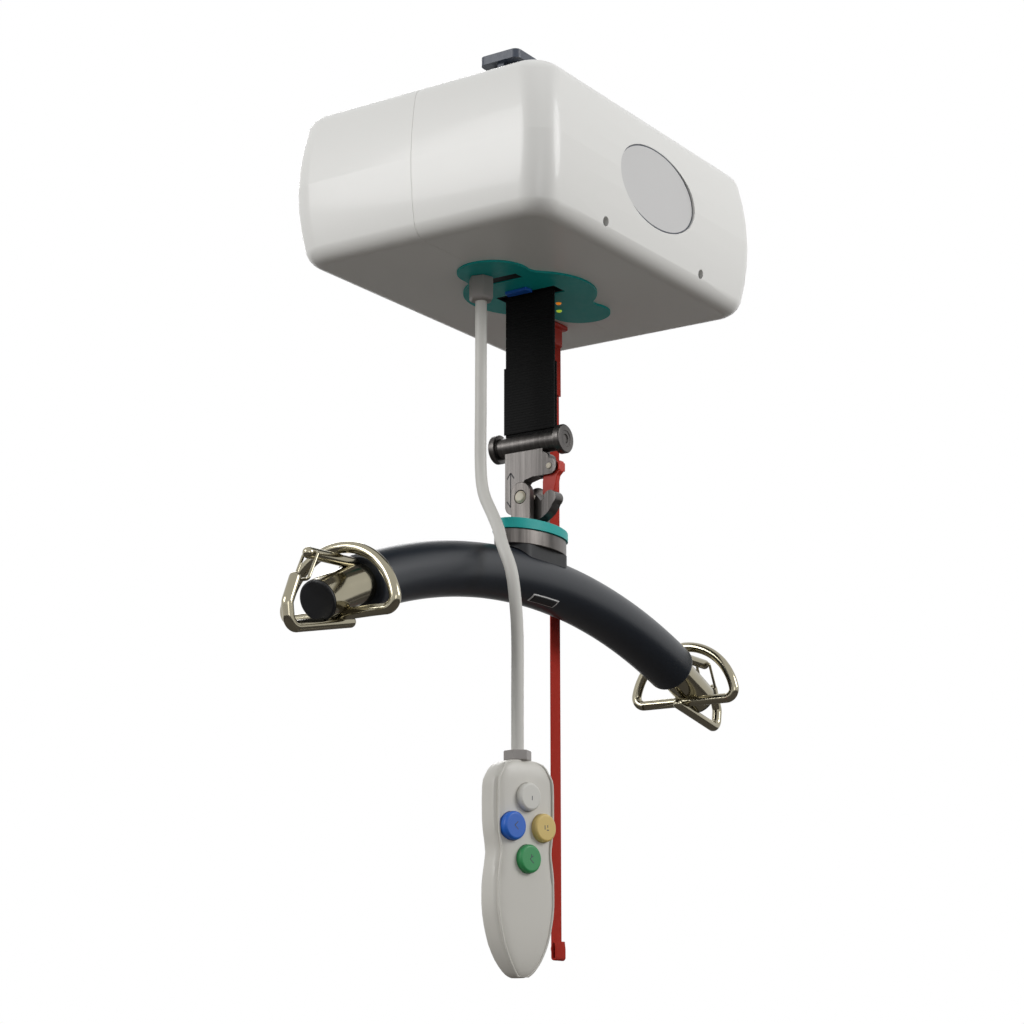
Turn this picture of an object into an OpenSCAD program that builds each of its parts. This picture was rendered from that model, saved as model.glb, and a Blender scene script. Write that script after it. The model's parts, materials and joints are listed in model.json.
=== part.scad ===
// Ceiling track hoist: trolley, cassette, hand control, lifting hook and spreader bar.
// Millimetres. Z = 0 is the face that the trolley wheels run on, the lifting strap hangs on the
// Z axis, +X runs along the track and the front of the cassette looks to -Y.

/* [Cassette] */
// Length of the cassette along the track
body_l = 350; // [320:5:420]
// Width of the cassette across the track
body_w = 260; // [230:5:300]
// Height of the cassette
body_h = 132; // [120:2:160]
// Swell of the sides at mid height
side_bow = 8; // [2:1:14]
// Radius of the top and bottom edges
edge_r = 12; // [6:1:16]
// Radius of the upright corners
corner_r = 25; // [18:1:40]
// Seam between the two covers
seam = 0.6; // [0.2:0.1:1.2]
// Depth of the pocket that takes the lifting strap
pocket_d = 30; // [20:1:50]
// Thickness of the coloured plate under the cassette
accent_t = 2; // [1.5:0.5:4]
// Radius of the coloured plate's middle lobe
accent_r = 58; // [50:1:62]

/* [Badge and screws] */
// Length of the oval badge
badge_l = 122; // [80:1:150]
// Height of the oval badge
badge_h = 70; // [40:1:80]
// Diameter of the two screw wells in the front
well_d = 8; // [5:0.5:10]
// Spacing of the two screw wells
well_pitch = 156; // [120:2:200]

/* [Trolley] */
// Diameter of the four wheels
wheel_d = 26; // [22:1:32]
// Width of one wheel
wheel_w = 10; // [8:0.5:12]
// Distance between the two axles
wheel_base = 68; // [60:1:90]
// Diameter of the axles
axle_d = 6; // [5:0.5:8]
// Length of the trolley plate
plate_l = 100; // [96:1:130]
// Width of the trolley plate
plate_w = 40; // [36:1:50]
// Thickness of the trolley plate
plate_t = 8; // [5:1:12]
// Thickness of the web that passes through the slot of the track
web_t = 6.4; // [4:0.2:7]
// Distance from the running face down to the top of the cassette
hang = 37; // [32:1:50]
// Diameter of the pin that the cassette turns on
pivot_d = 12; // [10:1:16]

/* [Lifting strap and hook] */
// Width of the lifting strap
strap_w = 50; // [40:1:54]
// Thickness of the lifting strap
strap_t = 2.5; // [1.5:0.5:4]
// Distance from the cassette down to the centre of the strap roller
strap_drop = 136; // [130:1:150]
// Diameter of the strap roller
roller_d = 18; // [14:1:20]
// Length of the strap roller over its end flanges
roller_l = 72; // [66:1:84]
// Diameter of the roller's end flanges
flange_d = 25; // [22:0.5:27]
// Thickness of the hook plate
hook_t = 12; // [9:0.5:13]
// Diameter of the fork pin that lies in the hook
pin_d = 11; // [9:0.5:12]
// Thickness of the safety latch sheet
latch_t = 2; // [1.5:0.1:2.2]

/* [Fork and swivel] */
// Thickness of one fork cheek
cheek_t = 7; // [5:0.5:9]
// Width of the fork cheeks
cheek_w = 19; // [17:0.5:20]
// Length of the oval swivel housing
swivel_l = 90; // [80:1:100]
// Width of the oval swivel housing
swivel_w = 48; // [46:1:56]
// Height of the coloured ring on the swivel housing
ring_h = 9; // [8:0.5:12]
// Height of the metal part of the swivel housing
swivel_h = 13; // [12:0.5:18]
// Diameter of the swivel stem
stem_d = 14; // [12:0.5:16]

/* [Spreader bar] */
// Radius of the bar's curve
bar_r = 665; // [600:5:760]
// Diameter of the bar's tube
tube_d = 32; // [30:0.5:34]
// Wall of the bar's tube
tube_wall = 2; // [1.5:0.1:3]
// Diameter of the foam cover
foam_d = 45; // [42:0.5:48]
// Half of the foam cover's length, measured along X
foam_x = 227; // [215:1:235]
// Half of the tube's length, measured along X
tube_x = 283; // [278:1:290]
// Diameter of the rings and hooks
rod_d = 9; // [7:0.5:10]
// Distance of the closed ring from the middle of the bar
loop_x = 258; // [252:1:262]
// Radius of the closed ring's arch
loop_r = 52.5; // [46:0.5:58]
// Diameter of the wire gates
wire_d = 2.5; // [2:0.1:3]

/* [Hand control] */
// Diameter of the hand control's cable
cable_d = 10; // [7:0.5:11]
// Length of the hand control
hand_l = 166; // [150:1:185]
// Width of the hand control
hand_w = 58; // [56:1:66]
// Thickness of the hand control
hand_t = 23; // [20:0.5:28]
// Diameter of the buttons
button_d = 22; // [18:0.5:23]
// Height of the buttons above the face
button_out = 5; // [3:0.5:6]
// Travel of the buttons
button_travel = 1.5; // [1:0.1:2]

/* [Emergency pull strap] */
// Width of the pull strap
pull_w = 15; // [10:1:20]
// Thickness of the pull strap
pull_t = 1.5; // [1:0.1:2.5]
// Length of the pull strap below the cassette
pull_l = 568; // [400:4:640]

/* [Hidden] */
$fn = 48;
gap = 0.3;      // clearance between pieces that move past each other
fit = 0.05;     // radial clearance of a running fit
e = 0.01;
bead = 0.2;     // width of the bead where two lengths of rod meet

// heights, with the underside of the cassette as the reference of all that hangs below it
under_z = -hang - body_h;
axle_z = wheel_d / 2;
plate_z = wheel_d + 2;
boss_z = -hang + 5.5 + gap;
boss_h = 12;
boss_d = pivot_d + 18;
head_d = pivot_d + 6;
head_h = 6;
collar_h = 13.7;
wheel_y = web_t / 2 + 1;
axle_l = 2 * (wheel_y + wheel_w + gap + 1.8);

slot_x = 18;
slot_y = strap_w + 10;
roller_z = -strap_drop;
pin_z = roller_z - 49;
bowl_z = pin_z + 3.3;
bowl_r = pin_d / 2 + 3.5;
hook_r = 24.5;
latch_y = -22.5;
latch_z = roller_z - 23;
cheek_x = hook_t / 2 + gap + latch_t + 0.7;
fork_x = cheek_x + cheek_t;
fork_base = pin_z - 21.8;
fork_base_t = 4.2;
ring_z = pin_z - 23;
stem_head_d = stem_d + 8;
stem_head_t = 4;
ledge_z = ring_z - ring_h - 5.7;
swivel_z = ring_z - ring_h - swivel_h;
foam_gap = 1.5;
apex_z = swivel_z - foam_gap - foam_d / 2;
arc_z = apex_z - bar_r;
foam_a = asin(foam_x / bar_r);
tube_a = asin(tube_x / bar_r);
function arc_pt(x) = [x, arc_z + sqrt(bar_r * bar_r - x * x)];

accent_lobes = [[0, 0, accent_r], [-62, -4, 31], [68, -8, 27]];
vent_box = [[-53, -20], [-41, 12]];
lamp_r = 2.5;
lamp_at = [[33, -8], [51, 3]];
gland_at = [-60, 10];
gland_af = 20;
gland_h = 20;
pull_at = [87, 32];
anchor_h = 20;
loop_t = 3 * pull_t + 1;

hand_at = [-92, -48];
hand_turn = -15;
nut_h = 8;
hand_top = -419;
cable_pts = [[-60, 10, -22], [-60, 10, -70], [-60, 10, -120], [-60, 10, -165], [-63, 5, -190],
             [-70, -8, -210], [-84, -24, -228], [-97, -37, -246], [-98, -46, -267],
             [-95, -48, -292], [-92, -48, -320], [-92, -48, -365], [-92, -48, -411]];

// ---------------------------------------------------------------- helpers
module under() { translate([0, 0, under_z]) children(); }

module rrect(l, w, r) {
    square([l - 2 * r, w], center = true);
    square([l, w - 2 * r], center = true);
    for (sx = [-1, 1], sy = [-1, 1])
        translate([sx * (l / 2 - r), sy * (w / 2 - r)]) circle(r);
}

function oval(l, w, n = 72) = [for (i = [0:n - 1]) [l / 2 * cos(360 * i / n), w / 2 * sin(360 * i / n)]];

// profile plane turned upright: (x, y) becomes (Y, Z), thickness along X
module in_yz() { rotate([90, 0, 90]) children(); }
// profile plane turned upright: (x, y) becomes (X, Z), thickness along -Y
module in_xz() { rotate([90, 0, 0]) children(); }
module along_y(d, l, n = 48) { rotate([90, 0, 0]) cylinder(d = d, h = l, center = true, $fn = n); }
module along_x(d, l, n = 48) { rotate([0, 90, 0]) cylinder(d = d, h = l, center = true, $fn = n); }

function edge_in(z) =
    z < edge_r ? edge_r - sqrt(pow(edge_r, 2) - pow(edge_r - z, 2)) :
    z > body_h - edge_r ? edge_r - sqrt(pow(edge_r, 2) - pow(z - body_h + edge_r, 2)) : 0;
function side_in(z) = side_bow * pow((z - body_h / 2) / (body_h / 2), 2) + edge_in(z);
cover_levels = concat([for (k = [0, 0.1, 0.3, 0.6, 1]) k * edge_r],
                      [for (k = [1:5]) edge_r + k * (body_h - 2 * edge_r) / 6],
                      [for (k = [1, 0.6, 0.3, 0.1, 0]) body_h - k * edge_r]);

// closed form of both covers together
module cover_form() {
    hull() for (z = cover_levels) {
        r = max(corner_r - edge_in(z), 6);
        zz = min(z, body_h - e);
        for (sx = [-1, 1], sy = [-1, 1])
            translate([sx * (body_l / 2 - side_in(z) - r), sy * (body_w / 2 - side_in(z) - r), zz])
                cylinder(r = r, h = e, $fn = 32);
    }
}

module cover_pockets() {
    // strap pocket in the underside
    translate([-slot_x / 2, -slot_y / 2, -1]) cube([slot_x, slot_y, pocket_d + 1]);
    // seat of the pivot collar and room for the head of the pivot pin
    translate([0, 0, body_h - collar_h]) cylinder(d = boss_d, h = collar_h + 1);
    translate([0, 0, body_h - collar_h - head_h - 2 * gap])
        cylinder(d = head_d + 2 * gap, h = head_h + 2 * gap + e);
}

// ---------------------------------------------------------------- trolley
module trolley_frame() color("#3A3D41") difference() {
    union() {
        translate([0, 0, plate_z]) linear_extrude(plate_t) rrect(plate_l, plate_w, 6);
        translate([0, web_t / 2, 0]) in_xz() linear_extrude(web_t)
            polygon([[-plate_l / 2 + 4, plate_z + e], [-plate_l / 2 + 4, axle_z - 7],
                     [-plate_l / 2 + 10, axle_z - 12], [-12, boss_z + boss_h - 2], [-12, boss_z + 2],
                     [12, boss_z + 2], [12, boss_z + boss_h - 2], [plate_l / 2 - 10, axle_z - 12],
                     [plate_l / 2 - 4, axle_z - 7], [plate_l / 2 - 4, plate_z + e]]);
        translate([0, 0, boss_z]) cylinder(d = boss_d, h = boss_h);
    }
    for (s = [-1, 1]) translate([s * wheel_base / 2, 0, axle_z]) along_y(axle_d, 20);
    translate([0, 0, boss_z - 1]) cylinder(d = pivot_d, h = boss_h - 1);
}

module axle(s) color("#B9BBBD") translate([s * wheel_base / 2, 0, axle_z]) {
    along_y(axle_d, axle_l);
    for (k = [-1, 1]) translate([0, k * (axle_l / 2 - 0.75), 0]) along_y(axle_d + 5, 1.5);
}

module wheel(sx, sy) color("#E6E2D6")
    translate([sx * wheel_base / 2, sy * (wheel_y + wheel_w / 2), axle_z]) rotate([90, 0, 0])
        rotate_extrude($fn = 64) polygon([
            [axle_d / 2 + fit, -wheel_w / 2], [wheel_d / 2 - 4, -wheel_w / 2],
            [wheel_d / 2 - 4, -wheel_w / 2 + 1], [wheel_d / 2 - 1, -wheel_w / 2 + 1],
            [wheel_d / 2, -wheel_w / 2 + 2], [wheel_d / 2, wheel_w / 2 - 2],
            [wheel_d / 2 - 1, wheel_w / 2 - 1], [wheel_d / 2 - 4, wheel_w / 2 - 1],
            [wheel_d / 2 - 4, wheel_w / 2], [axle_d / 2 + fit, wheel_w / 2]]);

module pivot_pin() color("#B9BBBD") {
    translate([0, 0, -hang - collar_h - gap]) cylinder(d = pivot_d, h = collar_h + 5.5 + 2 * gap + boss_h - 2);
    translate([0, 0, -hang - collar_h - gap - head_h]) cylinder(d = head_d, h = head_h + e);
}

// ---------------------------------------------------------------- cassette
module pivot_collar() color("#9A9C9E") translate([0, 0, -hang]) difference() {
    union() {
        translate([0, 0, -collar_h]) cylinder(d = boss_d, h = collar_h + 5.5);
        cylinder(d = boss_d + 14, h = 4);
    }
    translate([0, 0, -collar_h - 1]) cylinder(d = pivot_d + 2 * fit, h = collar_h + 8);
}

module badge_oval(extra) polygon(oval(badge_l + extra, badge_h + extra));

module cover_front() color("#EEEDE6") under() difference() {
    cover_form();
    translate([-body_l, -seam / 2, -1]) cube([2 * body_l, body_w, body_h + 2]);
    cover_pockets();
    translate([0, -body_w / 2 + 5, body_h / 2 + 1]) in_xz() linear_extrude(20) badge_oval(0.4);
    for (s = [-1, 1]) translate([s * well_pitch / 2, -body_w / 2 + 6, 15]) along_y(well_d, 24);
}

module cover_rear() color("#EEEDE6") under() difference() {
    cover_form();
    translate([-body_l, -body_w + seam / 2, -1]) cube([2 * body_l, body_w, body_h + 2]);
    cover_pockets();
}

module badge() color("#B5B7B8") under()
    translate([0, -body_w / 2 + 5, body_h / 2 + 1]) in_xz() linear_extrude(2.6) badge_oval(0);

module accent_plate() color("#2AA9A0") under() translate([0, 0, -accent_t]) difference() {
    linear_extrude(accent_t) difference() {
        offset(r = -14) offset(r = 14) for (c = accent_lobes) translate([c[0], c[1]]) circle(c[2]);
        square([slot_x, slot_y], center = true);
        translate(vent_box[0]) square(vent_box[1] - vent_box[0]);
    }
    for (c = lamp_at) translate([c[0], c[1], -1]) cylinder(r = lamp_r, h = accent_t + 2);
}

module vent_insert() color("#22262A") under() translate([vent_box[0][0], vent_box[0][1], -accent_t + 0.8])
    cube([vent_box[1][0] - vent_box[0][0], vent_box[1][1] - vent_box[0][1], accent_t - 0.8]);

module strap_guide() color("#2E6DB8") under() translate([-slot_x / 2 - 12, -10, -accent_t - 4])
    linear_extrude(4) translate([5, 12.5]) rrect(9, 25, 2);

module lamp(i) under() translate([lamp_at[i][0], lamp_at[i][1], -accent_t - 1.2]) {
    translate([0, 0, 1]) cylinder(r = lamp_r, h = accent_t + 0.2);
    cylinder(r1 = lamp_r - 0.8, r2 = lamp_r, h = 1);
}

module gland() color("#8A8480") under() translate([gland_at[0], gland_at[1], -accent_t]) {
    translate([0, 0, -3]) cylinder(d = gland_af + 6, h = 3);
    translate([0, 0, -14]) cylinder(d = gland_af / cos(30), h = 11, $fn = 6);
    translate([0, 0, -gland_h]) cylinder(d1 = cable_d + 5, d2 = gland_af - 2, h = gland_h - 14);
}

// cable: Catmull-Rom curve through the chosen points, swept with a round section
function cr(p0, p1, p2, p3, t) = 0.5 * (2 * p1 + (p2 - p0) * t + (2 * p0 - 5 * p1 + 4 * p2 - p3) * t * t
    + (3 * p1 - p0 - 3 * p2 + p3) * t * t * t);
function curve(p, n) = let (m = len(p) - 1) concat([for (i = [0:m - 1], k = [0:n - 1])
    cr(p[max(i - 1, 0)], p[i], p[i + 1], p[min(i + 2, m)], k / n)], [p[m]]);
function unit(v) = v / norm(v);
cable_line = curve(cable_pts, 3);
module sweep(line, r, sides) {
    m = len(line) - 1;
    pts = [for (i = [0:m])
        let (t = i == 0 || i == m ? [0, 0, -1] : unit(line[i + 1] - line[i - 1]),
             a = unit(cross(t, [0, 1, 0])), b = cross(t, a))
        for (k = [0:sides - 1]) line[i] + r * (cos(360 * k / sides) * a + sin(360 * k / sides) * b)];
    polyhedron(pts, concat([[for (k = [0:sides - 1]) k]],
        [for (i = [0:m - 1], k = [0:sides - 1]) let (k2 = (k + 1) % sides)
            [i * sides + k, (i + 1) * sides + k, (i + 1) * sides + k2, i * sides + k2]],
        [[for (k = [sides - 1:-1:0]) m * sides + k]]), convexity = 6);
}
module handset_cable() color("#C9CBCC") under() sweep(cable_line, cable_d / 2, 10);

// ---------------------------------------------------------------- hand control
module at_hand() { under() translate([hand_at[0], hand_at[1], hand_top]) rotate([0, 0, hand_turn]) children(); }
// share of the length, share of the half width, share of the half thickness
hand_form = [[0, 0.38, 0.62], [0.012, 0.62, 0.8], [0.035, 0.82, 0.93], [0.075, 0.95, 1], [0.13, 1, 1],
             [0.28, 1, 1], [0.36, 0.97, 1], [0.43, 0.94, 1], [0.5, 0.97, 1], [0.58, 1, 1],
             [0.67, 0.96, 1], [0.76, 0.84, 1], [0.85, 0.67, 0.97], [0.92, 0.49, 0.9],
             [0.97, 0.3, 0.76], [0.992, 0.17, 0.6], [1, 0.08, 0.45]];
function se(v, n) = sign(v) * pow(abs(v), 2 / n);
module handset_body() {
    line = curve(hand_form, 2);
    m = len(line) - 1;
    sides = 28;
    pts = [for (q = line) for (k = [0:sides - 1])
        let (a = 360 * (k + 0.5) / sides)
        [q[1] * hand_w / 2 * se(cos(a), 4.5), q[2] * hand_t / 2 * se(sin(a), 4.5), -q[0] * hand_l]];
    polyhedron(pts, concat([[for (k = [sides - 1:-1:0]) k]],
        [for (i = [0:m - 1], k = [0:sides - 1]) let (k2 = (k + 1) % sides)
            [i * sides + k, i * sides + k2, (i + 1) * sides + k2, (i + 1) * sides + k]],
        [[for (k = [0:sides - 1]) m * sides + k]]), convexity = 4);
}
button_at = [[0, -29], [-15.5, -52], [15.5, -52], [0, -76.5]];
button_in = 8;
module handset_shell() color("#B8B6AE") at_hand() difference() {
    handset_body();
    for (b = button_at) translate([b[0], -hand_t / 2 + button_in + button_travel + gap, b[1]])
        rotate([90, 0, 0]) cylinder(d = button_d + 2 * gap, h = hand_t);
}
module button(i) at_hand() translate([button_at[i][0], -hand_t / 2 + button_in, button_at[i][1]])
    rotate([90, 0, 0]) {
        cylinder(d = button_d, h = button_in + button_out - 1.5);
        translate([0, 0, button_in + button_out - 1.5]) cylinder(d1 = button_d, d2 = button_d - 3, h = 1.5);
    }
module handset_nut() color("#A9A7A2") at_hand() {
    cylinder(d = 20 / cos(30), h = nut_h - 3, $fn = 6);
    translate([0, 0, nut_h - 3]) cylinder(d1 = 18, d2 = cable_d + 3, h = 3);
}

// ---------------------------------------------------------------- emergency pull strap
module pull_anchor() color("#B03A2A") under() translate([pull_at[0], pull_at[1], -anchor_h]) {
    translate([0, 0, anchor_h - 4]) linear_extrude(4) rrect(pull_w + 13, 16, 4);
    translate([0, 0, 0]) linear_extrude(anchor_h - 4) rrect(pull_w + 5, 8, 3);
}
module pull_strap() color("#B03A2A") under() translate([pull_at[0], pull_at[1], -pull_l]) {
    translate([-pull_w / 2, -pull_t / 2, 16]) cube([pull_w, pull_t, pull_l - 16 - anchor_h]);
    translate([-pull_w / 2, 0, 0]) in_yz() linear_extrude(pull_w) {
        translate([-loop_t / 2, loop_t / 2]) square([loop_t, 17 - loop_t]);
        translate([0, loop_t / 2]) circle(d = loop_t);
        translate([0, 17 - loop_t / 2]) circle(d = loop_t);
    }
}

// ---------------------------------------------------------------- lifting strap and hook
module lift_strap() color("#1B1D20") under() translate([-strap_t / 2, -strap_w / 2, roller_z + roller_d / 2])
    cube([strap_t, strap_w, -roller_z - roller_d / 2 + pocket_d - gap]);

module strap_roller() color("#5F5855") under() translate([0, 0, roller_z]) rotate([90, 0, 0])
    rotate_extrude($fn = 64) polygon([
        [0, -roller_l / 2 + 1.5], [4, -roller_l / 2 + 1.5], [4, -roller_l / 2 + 0.5], [7, -roller_l / 2 + 0.5],
        [7, -roller_l / 2], [flange_d / 2 - 1, -roller_l / 2], [flange_d / 2, -roller_l / 2 + 1],
        [flange_d / 2, -roller_l / 2 + 6], [roller_d / 2, -roller_l / 2 + 6],
        [roller_d / 2, roller_l / 2 - 6], [flange_d / 2, roller_l / 2 - 6], [flange_d / 2, roller_l / 2 - 1],
        [flange_d / 2 - 1, roller_l / 2], [7, roller_l / 2], [7, roller_l / 2 - 0.5], [4, roller_l / 2 - 0.5],
        [4, roller_l / 2 - 1.5], [0, roller_l / 2 - 1.5]]);

// hook outline in (Y, Z): top block, shank on +Y, bowl under the fork pin and tip on -Y
module hook_outline() {
    difference() {
        union() {
            translate([-16, latch_z]) square([38, roller_z - 3 - latch_z]);
            translate([latch_y, latch_z - 7]) square([22 - latch_y, 14]);
            translate([-16, latch_z + 7]) circle(6);
            translate([latch_y, latch_z]) circle(7);
            translate([8, pin_z - 4]) square([14, latch_z - pin_z + 4]);
            translate([-4, pin_z + 4]) circle(hook_r, $fn = 96);
            translate([14, pin_z - 4]) circle(8);
        }
        // bowl and mouth
        translate([0, bowl_z]) circle(bowl_r);
        polygon([[-60, latch_z - 7], [-6, latch_z - 7], [2, latch_z - 9], [bowl_r, bowl_z + 6],
                 [bowl_r, bowl_z], [-bowl_r, bowl_z], [-14, pin_z - 3], [-17, pin_z - 1], [-60, pin_z - 1]]);
        // the latch's own end of the block stays round
        translate([-60, latch_z - 7]) square([60 + latch_y - 7.01, 60]);
    }
    translate([-23, pin_z - 1]) circle(6);
}
module hook_plate() color("#5F5855") under() difference() {
    translate([-hook_t / 2, 0, 0]) in_yz() linear_extrude(hook_t) hook_outline();
    translate([0, 0, roller_z]) along_y(roller_d, 120);
    translate([0, latch_y, latch_z]) along_x(5, 40);
}
module latch_pin() color("#C9BFA8") under() translate([0, latch_y, latch_z]) {
    along_x(5, hook_t + 2 * (gap + latch_t) + 0.4);
}
module latch_cheek() {
    difference() {
        union() {
            circle(6.6);
            polygon([[-6.6, 0], [6.6, 0], [8.6, -12], [8.6, -24], [5.5, -25.5], [0, -25.5], [-4, -20], [-6.6, -4]]);
        }
        circle(2.5 + fit);
    }
}
module safety_latch() color("#C23B2C") under() translate([0, latch_y, latch_z]) {
    for (s = [0, 1]) mirror([s, 0, 0]) translate([hook_t / 2 + gap, 0, 0]) in_yz()
        linear_extrude(latch_t) latch_cheek();
    // web that closes the mouth, just inside the tip of the hook
    translate([-hook_t / 2 - gap - e, 6.6, -24]) cube([hook_t + 2 * gap + 2 * e, 2, 12]);
    // thumb lever
    translate([-hook_t / 2 - gap - latch_t, -9.6, -4]) cube([hook_t + 2 * gap + 2 * latch_t, 2, 8]);
    for (s = [-1, 1]) translate([s * (hook_t / 2 + gap + latch_t / 2), -7, 0])
        cube([latch_t, 4, 8], center = true);
}

// ---------------------------------------------------------------- fork and swivel
module fork() color("#8C8A86") under() difference() {
    union() {
        for (s = [0, 1]) mirror([s, 0, 0]) translate([cheek_x, 0, 0]) in_yz() linear_extrude(cheek_t) {
            translate([0, pin_z + 3.5]) circle(d = cheek_w);
            translate([-cheek_w / 2, fork_base - fork_base_t]) square([cheek_w, pin_z + 3.5 - fork_base + fork_base_t]);
        }
        translate([-cheek_x - 1, -cheek_w / 2, fork_base - fork_base_t]) cube([2 * cheek_x + 2, cheek_w, fork_base_t]);
        translate([0, 0, ledge_z - gap]) cylinder(d = stem_d, h = fork_base - ledge_z + gap - 1);
        translate([0, 0, ledge_z - gap - stem_head_t]) cylinder(d = stem_head_d, h = stem_head_t);
    }
    translate([0, 0, pin_z]) along_x(pin_d, 80);
}
module fork_pin() color("#C9BFA8") under() translate([0, 0, pin_z]) {
    along_x(pin_d, 2 * fork_x + 3);
    for (s = [-1, 1]) translate([s * (fork_x + 0.75), 0, 0]) along_x(pin_d + 2.5, 1.5);
}
module swivel_ring() color("#2AA9A0") under() translate([0, 0, ring_z - ring_h]) difference() {
    union() {
        linear_extrude(ring_h - 2) polygon(oval(swivel_l, swivel_w));
        translate([0, 0, ring_h - 2]) linear_extrude(1) polygon(oval(swivel_l - 1, swivel_w - 1));
        translate([0, 0, ring_h - 1]) linear_extrude(1) polygon(oval(swivel_l - 4, swivel_w - 4));
    }
    translate([0, 0, ring_h - 3.3]) cylinder(r = norm([fork_x, cheek_w / 2]) + 0.8, h = 5);
    translate([0, 0, -1]) cylinder(d = stem_d + 2 * fit, h = ring_h + 2);
}
module swivel_housing() color("#8E8F91") under() translate([0, 0, swivel_z]) difference() {
    linear_extrude(swivel_h) polygon(oval(swivel_l - 3, swivel_w - 3));
    translate([0, 0, -1]) cylinder(d = stem_d + 2 * fit, h = swivel_h + 2);
    translate([0, 0, -1]) cylinder(d = stem_head_d + 2 * gap, h = ledge_z - swivel_z + 1);
}

// ---------------------------------------------------------------- spreader bar
// tube of the given radii between two angles of the bar's curve, measured from its top
module arc_tube(ro, ri, a0, a1) {
    translate([0, 0, arc_z]) rotate([90, 0, 0]) rotate([0, 0, 90 - a1])
        rotate_extrude(angle = a1 - a0, $fn = 180) translate([bar_r, 0]) difference() {
            circle(ro);
            if (ri > 0) circle(ri);
        }
}
module bar_saddle() color("#202326") under() {
    difference() {
        translate([0, 0, swivel_z - 11]) linear_extrude(11) rrect(swivel_l - 18, foam_d - 8, 12);
        translate([0, 0, apex_z]) along_x(foam_d, swivel_l, 96);
    }
    translate([0, 0, apex_z + tube_d / 2]) cylinder(d = 16, h = swivel_z - apex_z - tube_d / 2);
}
module foam_cover() color("#2B3138") under() difference() {
    arc_tube(foam_d / 2, tube_d / 2, -foam_a, foam_a);
    translate([0, 0, apex_z]) cylinder(d = 16, h = foam_d);
}
module bar_tube() color("#C9CBCD") under() arc_tube(tube_d / 2, tube_d / 2 - tube_wall, -foam_a, foam_a);

// a round rod through points of one plane, bent with one radius at each inner point
function turn(p, i) = let (u = unit(p[i] - p[i - 1]), v = unit(p[i + 1] - p[i])) acos(u * v);
function bend_t(p, i, rb) = i <= 0 || i >= len(p) - 1 ? 0 : rb * tan(turn(p, i) / 2);
module bent_rod(p, rb, d) {
    m = len(p) - 1;
    for (i = [0:m - 1]) {
        u = unit(p[i + 1] - p[i]);
        q = p[i] + u * bend_t(p, i, rb);
        l = norm(p[i + 1] - p[i]) - bend_t(p, i, rb) - bend_t(p, i + 1, rb);
        translate([q[0], q[1], 0]) rotate([0, 0, atan2(u[1], u[0])]) rotate([0, 90, 0]) {
            cylinder(d = d, h = l);
            // weld beads that close the joints between straight and bent lengths
            if (i > 0) translate([0, 0, -bead / 2]) cylinder(d = d + bead / 5, h = bead);
            if (i < m - 1) translate([0, 0, l - bead / 2]) cylinder(d = d + bead / 5, h = bead);
        }
    }
    if (m > 1) for (i = [1:m - 1]) {
        u = unit(p[i] - p[i - 1]);
        v = unit(p[i + 1] - p[i]);
        side = sign(u[0] * v[1] - u[1] * v[0]);
        c = p[i] - u * bend_t(p, i, rb) + side * rb * [-u[1], u[0]];
        w = side > 0 ? [u[1], -u[0]] : [-v[1], v[0]];
        translate([c[0], c[1], 0]) rotate([0, 0, atan2(w[1], w[0])])
            rotate_extrude(angle = turn(p, i), $fn = 64) translate([rb, 0]) circle(d = d);
    }
}
// half ball on the end of a rod that runs from p towards q
module rod_end(p, q, d) translate([q[0], q[1], 0]) rotate([0, 0, atan2(q[1] - p[1], q[0] - p[0])])
    rotate([0, 90, 0]) {
        rotate_extrude($fn = 32) intersection() { circle(d = d, $fn = 32); square(d); }
        translate([0, 0, -bead]) cylinder(d = d + bead / 5, h = bead);
    }

function end_at(x, z) = arc_pt(tube_x) + [x, z];
flat_z = arc_pt(loop_x)[1] - tube_d / 2 - 2;
loop_c = flat_z - 1.5;
loop_f = 8;
loop_fz = flat_z + loop_f;
loop_fy = sqrt(pow(loop_r - loop_f, 2) - pow(loop_fz - loop_c, 2));
loop_fa = asin((loop_fz - loop_c) / (loop_r - loop_f));
hook_pts = [[loop_x - 13, flat_z - 3.5], end_at(33, -25), end_at(36, -7), end_at(28, 12)];
eye_pts = [end_at(-43, 35), end_at(13, 33.4)];
eye_pivot = end_at(10, 33.5);
gate_tip = end_at(21, 11.6);

// closed ring across the bar, welded under the tube
module cross_loop() translate([loop_x, 0, 0]) in_yz() {
    translate([0, loop_c]) rotate([0, 0, loop_fa]) rotate_extrude(angle = 180 - 2 * loop_fa, $fn = 120)
        translate([loop_r, 0]) circle(d = rod_d);
    translate([loop_fy, loop_fz]) rotate([0, 0, -90]) rotate_extrude(angle = 90 + loop_fa, $fn = 64)
        translate([loop_f, 0]) circle(d = rod_d);
    translate([-loop_fy, loop_fz]) rotate([0, 0, 180 - loop_fa]) rotate_extrude(angle = 90 + loop_fa, $fn = 64)
        translate([loop_f, 0]) circle(d = rod_d);
    translate([0, flat_z]) rotate([0, 90, 0]) cylinder(d = rod_d, h = 2 * loop_fy, center = true);
}
module end_fitting() difference() {
    union() {
        arc_tube(tube_d / 2, tube_d / 2 - tube_wall, foam_a, tube_a);
        cross_loop();
        in_xz() {
            bent_rod(hook_pts, 8, rod_d);
            rod_end(hook_pts[2], hook_pts[3], rod_d);
            rod_end(hook_pts[1], hook_pts[0], rod_d);
            bent_rod(eye_pts, 8, rod_d);
            rod_end(eye_pts[0], eye_pts[1], rod_d);
        }
    }
    translate([eye_pivot[0], 0, eye_pivot[1]]) along_y(wire_d + 2 * fit, 20);
}
module end_fitting_a() color("#C9C4B4") under() mirror([0, 1, 0]) end_fitting();
module end_fitting_b() color("#C9C4B4") under() mirror([1, 0, 0]) end_fitting();

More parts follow.
